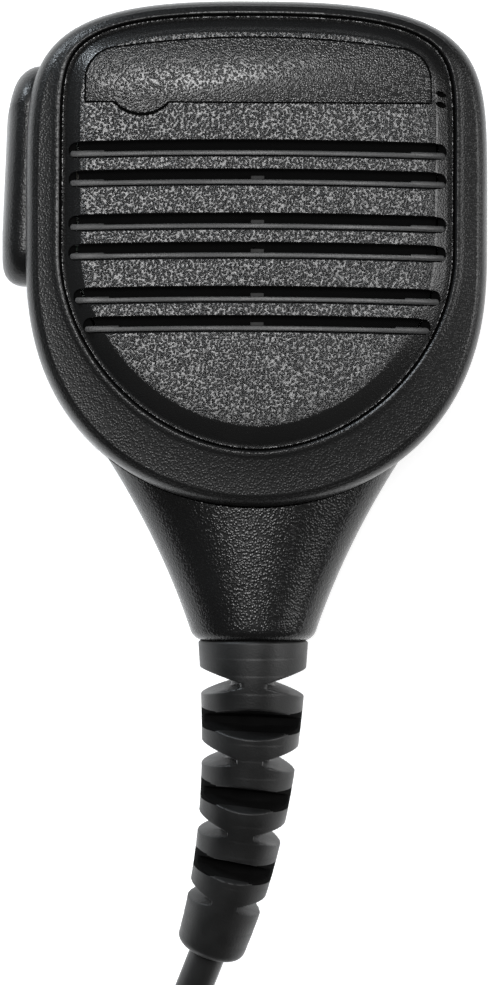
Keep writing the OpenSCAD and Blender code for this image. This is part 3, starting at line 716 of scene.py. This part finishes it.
def make_front():
    """The front shell: its wall, its rounded rim and the groove round the panel."""
    rim = [("wall", 0.22, SEAM_FRONT), ("wall", 0.06, SEAM_FRONT + 0.12), ("wall", 0, SEAM_FRONT + 0.35),
           ("wall", 0, 28), ("wall", 0, 31), ("wall", 0, RIM_LOW)]
    rim += [("outer", RIM_ROUND * (1 - math.cos(a)), RIM_LOW + RIM_RISE * math.sin(a))
            for a in np.radians([10, 22, 34, 46, 58, 70, 79])]
    rim += [("outer", 1.32, 36.62), ("outer", 1.42, 36.7), ("outer", 1.75, 36.78),
            ("inner", 1.3, 36.95), ("inner", 0.85, 37.12), ("inner", 0.5, 37.26),
            ("inner", 0.27, 37.26), ("inner", 0.1, 37.14), ("inner", 0.02, 36.9), ("inner", 0.0, 36.5),
            ("inner", 0, LEDGE_Z), ("inner", -2.2, LEDGE_Z), ("inner", -2.2, CEILING_Z),
            ("wall", WALL, CEILING_Z), ("wall", WALL, SEAM_FRONT)]
    shell = loft("front_shell", shell_rings(rim), loop=True)
    combine(shell, [window_cutter()])
    bosses = [rod("boss", at, BOSS_R, SEAM_FRONT, CEILING_Z + 0.3) for at in SCREWS]
    combine(shell, bosses, "UNION")
    cord_gap = prism("cord_gap", [(-9, -40), (9, -40), (9, -27), (-9, -27)], SEAM_FRONT - 1,
                     SEAM_FRONT + 6)
    holes = [rod("insert_hole", at, INSERT_R, SEAM_FRONT - 1, SEAM_FRONT + INSERT_DEEP) for at in SCREWS]
    combine(shell, holes + [cord_gap])
    place(shell, "housing", [RIM, SHADE], ["front_housing"])
    # Painted shade: faces low inside the groove and under the panel that face up, and upright faces above
    # the panel's underside, get the near-black matte material.
    for face in shell.data.polygons:
        low = face.center.z < (PLATEAU_Z - 1.6) * MM
        if low and (face.normal.z > 0.9 or not face.normal.z and face.center.z > LEDGE_Z * MM):
            face.material_index = 1


make_front()

# ---- grille panel ----

SLOT_TOP_Y, PAIR_PITCH, SLOT_PITCH, SLOT_H = 14.1, 9.8, 3.9, 2.1
SLOTS = [SLOT_TOP_Y - pair * PAIR_PITCH - row * SLOT_PITCH for pair in range(3) for row in range(2)]


def panel_half(y):
    """Half the panel's width at this height on it."""
    if y >= 0:
        return PANEL_HALF * (1 - (y / PANEL_TOP) ** 10) ** (1 / 2.6)
    return PANEL_HALF * (1 - (-y / PANEL_LOW) ** 1.9) ** (1 / 1.9)


SLOT_LONGEST, SLOT_MARGIN = 25.4, 1.2


def slot_half(y):
    """Half a slot's length. The panel's edge shortens the low ones."""
    return min(SLOT_LONGEST, panel_half(y) - SLOT_MARGIN)


ARCH, ARCH_AT = 0.36, 23


def arched(points):
    """Bends a slot's outline: its ends are a little lower than its middle."""
    points = np.array(points, float)
    points[:, 1] -= ARCH * (points[:, 0] / ARCH_AT) ** 2
    return points


def stadium(half, y0, y1, r, n=8, across=24):
    """A long bar with round corners, seen from above."""
    points = []
    for cx, cy, start in ((half - r, y1 - r, 0), (-half + r, y1 - r, 90), (-half + r, y0 + r, 180),
                          (half - r, y0 + r, 270)):
        for a in np.radians(np.linspace(start, start + 90, n)):
            points.append((cx + r * math.cos(a), cy + r * math.sin(a)))
        if start in (0, 180):
            side = 1 if start == 0 else -1
            y = cy + side * r
            points += [(x, y) for x in np.linspace(side * (half - r), -side * (half - r), across)[1:-1]]
    return arched(points)


SLOT_R = 0.95
RIB_HALF, RIB_LOW, RIB_HIGH, RIB_BELOW = 0.9, 0.35, 0.25, 1.3
BAR_GAP, BAR_LOW, BAR_MID, BAR_END, BAR_R, BAR_BELOW = 0.2, 0.13, 0.66, 0.84, 0.42, 0.55
BAR_STEP = 4.6


def slot_cutter(y):
    """The opening of a slot, which widens a little at the panel's face."""
    levels = [(0.0, LEDGE_Z - 1), (0.0, PLATEAU_Z - 0.3), (0.05, PLATEAU_Z - 0.1),
              (0.16, PLATEAU_Z + 0.02), (0.5, PLATEAU_Z + 0.5)]
    rings = [flat_ring(stadium(slot_half(y) + g, y - SLOT_H / 2 - g, y + SLOT_H / 2 + g,
                               SLOT_R + g), z) for g, z in levels]
    return loft("slot_cutter", rings)


def ledge_bar(y):
    """The lower lip of a slot, set a little below the panel, and taller near both ends."""
    half = slot_half(y) - BAR_GAP
    low = y - SLOT_H / 2 + BAR_LOW
    mid, high = low + BAR_MID, low + BAR_END
    step_x = half - BAR_STEP
    r = BAR_R
    right = [(half - r + r * math.cos(a), low + r + (high - low - 2 * r) * (a > 0) + r * math.sin(a))
             for a in np.radians(np.linspace(-90, 90, 13))]
    top = [(step_x + 0.1, high)] + [(x, mid) for x in np.linspace(step_x, 0, 12)]
    bottom = [(x, low) for x in np.linspace(0, half - r, 14)[1:-1]]
    side = bottom + right + top
    outline = side + [(-x, v) for x, v in side[-2::-1]] + [(0, low)]
    bar = prism("ledge_bar", arched(outline), LEDGE_Z + 0.05, PLATEAU_Z - BAR_BELOW)
    return bevelled(bar, 0.07, 2, 50)


def rib(y):
    """The short rib deep in the middle of a slot."""
    outline = [(x, v) for v, x in ((y - RIB_LOW, -RIB_HALF), (y - RIB_LOW, RIB_HALF),
                                   (y + RIB_HIGH, RIB_HALF), (y + RIB_HIGH, -RIB_HALF))]
    return bevelled(prism("slot_rib", outline, LEDGE_Z + 0.06, PLATEAU_Z - RIB_BELOW), 0.08)


def label_outline(grow=0.0):
    """The arched inlay: a straight lower edge with a shallow round tab, and round top corners."""
    left, right, bottom, corner_r = -23.15 - grow, 23.15 + grow, 20.15 - grow, 4.5
    crown, fall = 28.95 + grow, 1.6
    tab_x, tab_half, tab_r = -15.6, 3.64 + grow, 4.86
    tab_y = bottom + math.sqrt(tab_r**2 - tab_half**2)
    start = math.degrees(math.asin(tab_half / tab_r))
    points = [(left, bottom)]
    points += [(tab_x + tab_r * math.sin(a), tab_y - tab_r * math.cos(a))
               for a in np.radians(np.linspace(-start, start, 15))]
    points += [(right, bottom)]

    def top(x):
        return crown - fall * (x / 20) ** 2

    for cx, sign in ((right - corner_r, 1), (left + corner_r, -1)):
        cy = top(cx) - corner_r
        turn = np.radians(np.linspace(0, 80, 14))
        corner = [(cx + sign * corner_r * math.cos(a), cy + corner_r * math.sin(a)) for a in turn]
        if sign == 1:
            points += corner
            points += [(x, top(x)) for x in np.linspace(cx - 0.8, left + corner_r + 0.8, 28)]
        else:
            points += corner[::-1]
    return np.array(points)


MIC_X, MIC_YS = 24.5, (20.02, 21.44)
MIC_LONG, MIC_SHORT, MIC_TILT = 0.78, 0.4, math.radians(-16)


def mic_hole(y):
    """A small tilted oval hole over the microphone."""
    c, s = circle(24)
    local = np.stack([MIC_LONG * c, MIC_SHORT * s], 1)
    turn = np.array([[math.cos(MIC_TILT), -math.sin(MIC_TILT)], [math.sin(MIC_TILT), math.cos(MIC_TILT)]])
    return prism("mic_cutter", local @ turn.T + [MIC_X, y], LEDGE_Z - 1, PLATEAU_Z + 1)


RECESS, RECESS_GAP = 0.6, 0.1
SLOPE_CHANGE = 0.17
EDGE_END = 0.54


def make_panel():
    """The panel with its slots, the recess of the name plate, and the bars and ribs in the slots."""
    outline = panel_outline()
    n = inward(outline)
    edge = [(0.2, LEDGE_Z), (0.2, 36.2), (0.24, 36.5), (0.32, 36.6), (0.42, 36.6), (0.5, 36.5),
            (EDGE_END, 36.35)]
    slope = [(0.62, 36.38), (0.9, 36.58), (1.35, 36.92), (1.8, 37.26), (2.2, 37.55), (2.5, 37.77),
             (2.7, 37.9), (2.85, 37.97), (3.0, 38.0), (4.5, 38.0), (9.0, 38.0)]
    reach = np.where(outline[:, 1] > 0, PANEL_TOP, PANEL_LOW)
    wider_below = (1 - SLOPE_CHANGE * outline[:, 1] / reach)[:, None]
    rings = [flat_ring(outline + n * d, z) for d, z in edge]
    rings += [flat_ring(outline + n * (EDGE_END + (d - EDGE_END) * wider_below), z) for d, z in slope]
    panel = loft("grille_plate", rings)
    combine(panel, [slot_cutter(y) for y in SLOTS])
    recess = prism("label_cutter", label_outline(RECESS_GAP), PLATEAU_Z - RECESS, PLATEAU_Z + 1)
    combine(panel, [recess] + [mic_hole(y) for y in MIC_YS])
    place(panel, "housing", [PLATEAU, SHADE], ["grille_panel"], angle=28)
    # Painted shade: the floor of the name plate's recess, seen in the gap round the plate, gets the
    # near-black matte material.
    for face in panel.data.polygons:
        if face.normal.z > 0.99 and abs(face.center.z / MM - (PLATEAU_Z - RECESS)) < 0.02:
            face.material_index = 1
    for i, y in enumerate(SLOTS):
        bar = ledge_bar(y)
        bar.name = f"slot_ledge_{i + 1}"
        place(bar, "housing", LEDGE)
        if i > 0:
            middle = rib(y)
            middle.name = f"slot_rib_{i + 1}"
            place(middle, "housing", RIB)


def make_label():
    rings = [flat_ring(label_outline(-g), z) for g, z in
             [(0.08, PLATEAU_Z - 0.59), (0.08, PLATEAU_Z - 0.1), (0.12, PLATEAU_Z - 0.03),
              (0.2, PLATEAU_Z)]]
    place(loft("label_plate", rings), "housing", LABEL, ["name_plate"], angle=28)


make_panel()
make_label()


CLOTH_EDGE, CLOTH_THICK = 2.5, 0.12


def make_cloth():
    """The thin cloth that is stretched behind the slots."""
    outline = panel_outline() + inward(panel_outline()) * CLOTH_EDGE
    rings = [flat_ring(outline * f, LEDGE_Z - 0.16 + 0.02 * math.cos(9 * f)) for f in
             np.linspace(0.999, 0.03, 14)]
    under = [r - [0, 0, CLOTH_THICK] for r in rings[::-1]]
    cloth = loft("grille_mesh_cloth", rings + under, loop=True)
    place(cloth, "housing", CLOTH, ["grille_cloth"])


make_cloth()

# ---- back shell with the neck ----


NECK_FROM = 50.4
NECK_HALF, NECK_FLARE, NECK_CURVE = 8.6, 0.34, 0.0064
NECK_HIGH, NECK_RISE, NECK_POWER = 7.9, 0.085, 2.3
NECK_SIDES, NECK_ROUND = 96, 1.3


def neck_ring(y, shrink=0.0):
    """One outline of the neck: it grows wider and higher towards the body."""
    t = y + NECK_FROM
    a = NECK_HALF + NECK_FLARE * t + NECK_CURVE * t * t - shrink
    b = NECK_HIGH + NECK_RISE * t - shrink
    c, s = circle(NECK_SIDES)
    r = (np.abs(c / a) ** NECK_POWER + np.abs(s / b) ** NECK_POWER) ** (-1 / NECK_POWER)
    return np.stack([r * c, np.full(NECK_SIDES, y), NECK_Z + r * s], 1)


def neck_solid():
    rings = [neck_ring(y) for y in np.linspace(-20, -NECK_END + NECK_ROUND, 34)]
    rings += [neck_ring(-NECK_END + NECK_ROUND * (1 - math.sin(a)), NECK_ROUND * (1 - math.cos(a)))
              for a in np.radians([15, 30, 45, 60, 75, 90])]
    return loft("neck", rings)


def neck_bore():
    rings = [neck_ring(y, WALL) for y in np.linspace(-18, -NECK_END + 2.6, 14)]
    return loft("neck_bore", rings)


def rod_y(name, x, z, r, y0, y1):
    c, s = circle(ROD_SIDES)
    return loft(name, [np.stack([x + r * c, np.full(ROD_SIDES, y), z + r * s], 1) for y in (y0, y1)])


def rod_x(name, y, z, r, x0, x1):
    c, s = circle(ROD_SIDES)
    return loft(name, [np.stack([np.full(ROD_SIDES, x), y + r * c, z + r * s], 1) for x in (x0, x1)])


def block(name, low, high):
    """A box between two corners."""
    x0, y0, z0 = low
    x1, y1, z1 = high
    return prism(name, [(x0, y0), (x1, y0), (x1, y1), (x0, y1)], z0, z1)


CLIP_AT = (0, 2)
POST_R, SCREW_R = 3.4, 1.5
JACK_Y, JACK_Z = 6, 19.2


def make_back():
    """The back shell with its neck, its posts for the screws and the room for the dust cap."""
    profile = [(0.22, SEAM_BACK), (0.06, SEAM_BACK - 0.12), (0, SEAM_BACK - 0.35), (0, 20), (0, 16.2)]
    profile += [(2.6 * (1 - math.cos(a)), 16.2 - 3.6 * math.sin(a))
                for a in np.radians([12, 24, 36, 48, 60, 72])]
    profile += [(2.15, 12.3), (2.6, 12.1), (3.2, BACK_Z), (8, BACK_Z)]
    outline = body_outline()
    n = inward(outline)
    shell = loft("back_shell", [flat_ring(outline + n * d, z) for d, z in profile])
    neck = neck_solid()
    combine(neck, [prism("front_room", body_outline(0.12), SEAM_BACK, 45)])
    combine(shell, [neck], "UNION")
    cavity = loft("cavity", [flat_ring(outline + n * d, z) for d, z in
                             [(WALL + 0.9, BACK_Z + WALL), (WALL, BACK_Z + WALL + 2),
                              (WALL, SEAM_BACK + 1)]])
    combine(shell, [cavity])
    combine(shell, [neck_bore(), window_cutter()])
    posts = [rod("post", at, POST_R, BACK_Z + 1, SEAM_BACK) for at in SCREWS]
    posts += [rod("boss", CLIP_AT, 8.5, BACK_Z - 0.8, BACK_Z + 1)]
    combine(shell, posts, "UNION")
    combine(shell, [rod("screw_hole", at, SCREW_R, BACK_Z - 1, SEAM_BACK + 1) for at in SCREWS])
    round_one = np.stack(circle(ROD_SIDES), 1)
    sinks = [loft("sink", [flat_ring(round_one * r + at, z) for r, z in
                           [(3.2, 11.7), (2.85, 12.02), (2.6, 12.3), (2.6, 18)]]) for at in SCREWS]
    combine(shell, sinks + [rod("insert_hole", CLIP_AT, 2.4, 10, 17)])
    combine(shell, [rod_y("relief_hole", 0, NECK_Z, 5.1, -NECK_END - 1, -NECK_END + 6),
                    rod_x("jack_hole", JACK_Y, JACK_Z, 3, 24, 34),
                    block("flap_room", (29.95, 1.4, 14.9), (34, 10.6, 23.5))])
    place(shell, "housing", SHELL, ["back_housing"])


make_back()

# ---- push-to-talk button ----


KEY_PROUD, KEY_FALL, KEY_FALL_FROM, KEY_FALL_POWER = 3.2, 0.02, 9, 1.3
KEY_CROWN, KEY_SUNK = 0.12, 0.9
KEY_BACK, KEY_FLANGE, KEY_POST = -28.6, -27.9, -25.0


def make_button():
    """The long key on the left side. Its face is crowned, and its ends run down to the body."""
    wall_line = body_outline()
    left = wall_line[wall_line[:, 0] < 0]
    order = np.argsort(left[:, 1])
    ys, xs = left[order, 1], left[order, 0]
    mid_z, half_z = (PTT_Z0 + PTT_Z1) / 2, (PTT_Z1 - PTT_Z0) / 2

    def face(y, z):
        proud = KEY_PROUD - KEY_FALL * max(0.0, y - KEY_FALL_FROM) ** KEY_FALL_POWER
        return np.interp(y, ys, xs) - proud * (1 - KEY_CROWN * ((z - mid_z) / half_z) ** 2)

    def base(y):
        return np.interp(y, ys, xs) + KEY_SUNK

    depth = [(0.0, 0.0), (0.0, 0.3), (0.04, 0.42), (0.16, 0.55), (0.4, 0.68), (0.8, 0.8), (1.35, 0.9),
             (2.1, 0.965), (3.0, 0.992), (4.0, 1.0), (5.2, 1.0), (6.4, 1.0)]
    rings = []
    for inset, part in depth:
        yz = lozenge(PTT_Y0 + inset, PTT_Y1 - inset, PTT_Z0 + inset, PTT_Z1 - inset,
                     max(0.7, 5.2 - 0.75 * inset), 14)
        rings.append(np.array([(base(y) + (face(y, z) - base(y)) * part, y, z) for y, z in yz]))
    back = [np.array([(max(base(y), KEY_BACK) + KEY_SUNK, y, z) for _, y, z in rings[0]])]
    key = loft("talk_key", back + rings)
    flange = block("flange", (KEY_BACK, PTT_Y0 - 0.9, PTT_Z0 - 0.7), (KEY_FLANGE, 20.0, PTT_Z1 + 0.7))
    post = rod_x("post", (PTT_Y0 + PTT_Y1) / 2, 24.5, 1.5, KEY_BACK, KEY_POST)
    combine(key, [flange, post], "UNION")
    place(key, "button", RIM, ["ptt_button"])


make_button()

# ---- pieces that keep their CAD shape, with rounded edges ----

softened("clip_base", "clip_plate", "clip", CLIP, 0.22)
softened("clip_lever", "clip_arm", "lever", CLIP, 0.28, 3)
softened("jack_dust_cap", "dust_cap_flap", "dust_cap", SOFT, 0.2)
softened("plug_body", "plug_shell", "housing", PLUG, 0.8, 4)
softened("cord_tie", "cord_band", "housing", SOFT, 0.2)
softened("ear_jack_socket", "jack_body", "housing", DARK, 0.15)
plug_sleeve = softened("plug_relief", "plug_sleeve", "housing", RELIEF, 0.3)

CAD_LOOKS = {
    "speaker_frame": STEEL, "speaker_cone": CONE, "speaker_magnet": STEEL, "mic_capsule": SOFT,
    "mic_boot": SOFT, "circuit_board": BOARD, "board_components": DARK, "ptt_seal": SOFT,
    "ptt_switch": DARK, "switch_plunger": NYLON, "housing_seal": SOFT, "housing_screws": STEEL,
    "threaded_inserts": BRASS, "cord_clamp": STEEL, "clamp_screws": STEEL, "inner_cord": CORD,
    "wires": WIRE, "swivel_washer": NYLON, "swivel_screw": STEEL, "swivel_insert": BRASS,
    "clip_pin": STEEL, "clip_spring": STEEL, "plug_pin_large": GOLD, "plug_pin_small": GOLD,
    "speaker_gasket": FOAM,
}
for _node, _look in CAD_LOOKS.items():
    _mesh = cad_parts[_node].data
    _mesh.materials.clear()
    _mesh.materials.append(_look)

# ---- floor and light ----


FLOOR_HALF = 3.0


def make_floor():
    half = FLOOR_HALF
    mesh = bpy.data.meshes.new("floor")
    mesh.from_pydata([(-half, -half, 0), (half, -half, 0), (half, half, 0), (-half, half, 0)], [],
                     [(0, 1, 2, 3)])
    floor = linked("floor", mesh)
    s = Shader("floor_paper")
    tone = s.mix(s.noise(9, 2.0, 0.5), (0.86, 0.86, 0.86), (0.9, 0.9, 0.9))
    s.bsdf.inputs["Roughness"].default_value = 0.9
    s.bsdf.inputs["Specular IOR Level"].default_value = 0.1
    s.bsdf.inputs["Emission Color"].default_value = (1, 1, 1, 1)
    s.bsdf.inputs["Emission Strength"].default_value = 0.62
    mesh.materials.append(s.set(Base_Color=tone))


def lamp(name, size, power, place_at, aim, colour=(1, 1, 1)):
    """A round soft light that looks at a point."""
    data = bpy.data.lights.new(name, "AREA")
    data.shape, data.size, data.energy = "DISK", size, power
    data.color = colour
    light = linked(name, data)
    light.location = place_at
    light.rotation_euler = (Vector(aim) - Vector(place_at)).to_track_quat("-Z", "Y").to_euler()


make_floor()
lamp("overhead", 0.22, 2.9, (-0.045, 0.07, 0.69), (0, 0.01, 0.03))
lamp("top_left", 0.3, 5.5, (-0.5, 0.55, 0.35), (0, 0, 0.03), (0.85, 0.93, 1.0))
lamp("right", 0.4, 2.6, (0.6, 0.0, 0.4), (0, 0, 0.03))

WORLD_LIGHT = 0.07

world = bpy.data.worlds.new("studio")
world.use_nodes = True
background = world.node_tree.nodes["Background"]
background.inputs["Color"].default_value = (1, 1, 1, 1)
background.inputs["Strength"].default_value = WORLD_LIGHT
bpy.context.scene.world = world
bpy.context.scene.view_settings.view_transform = "Standard"
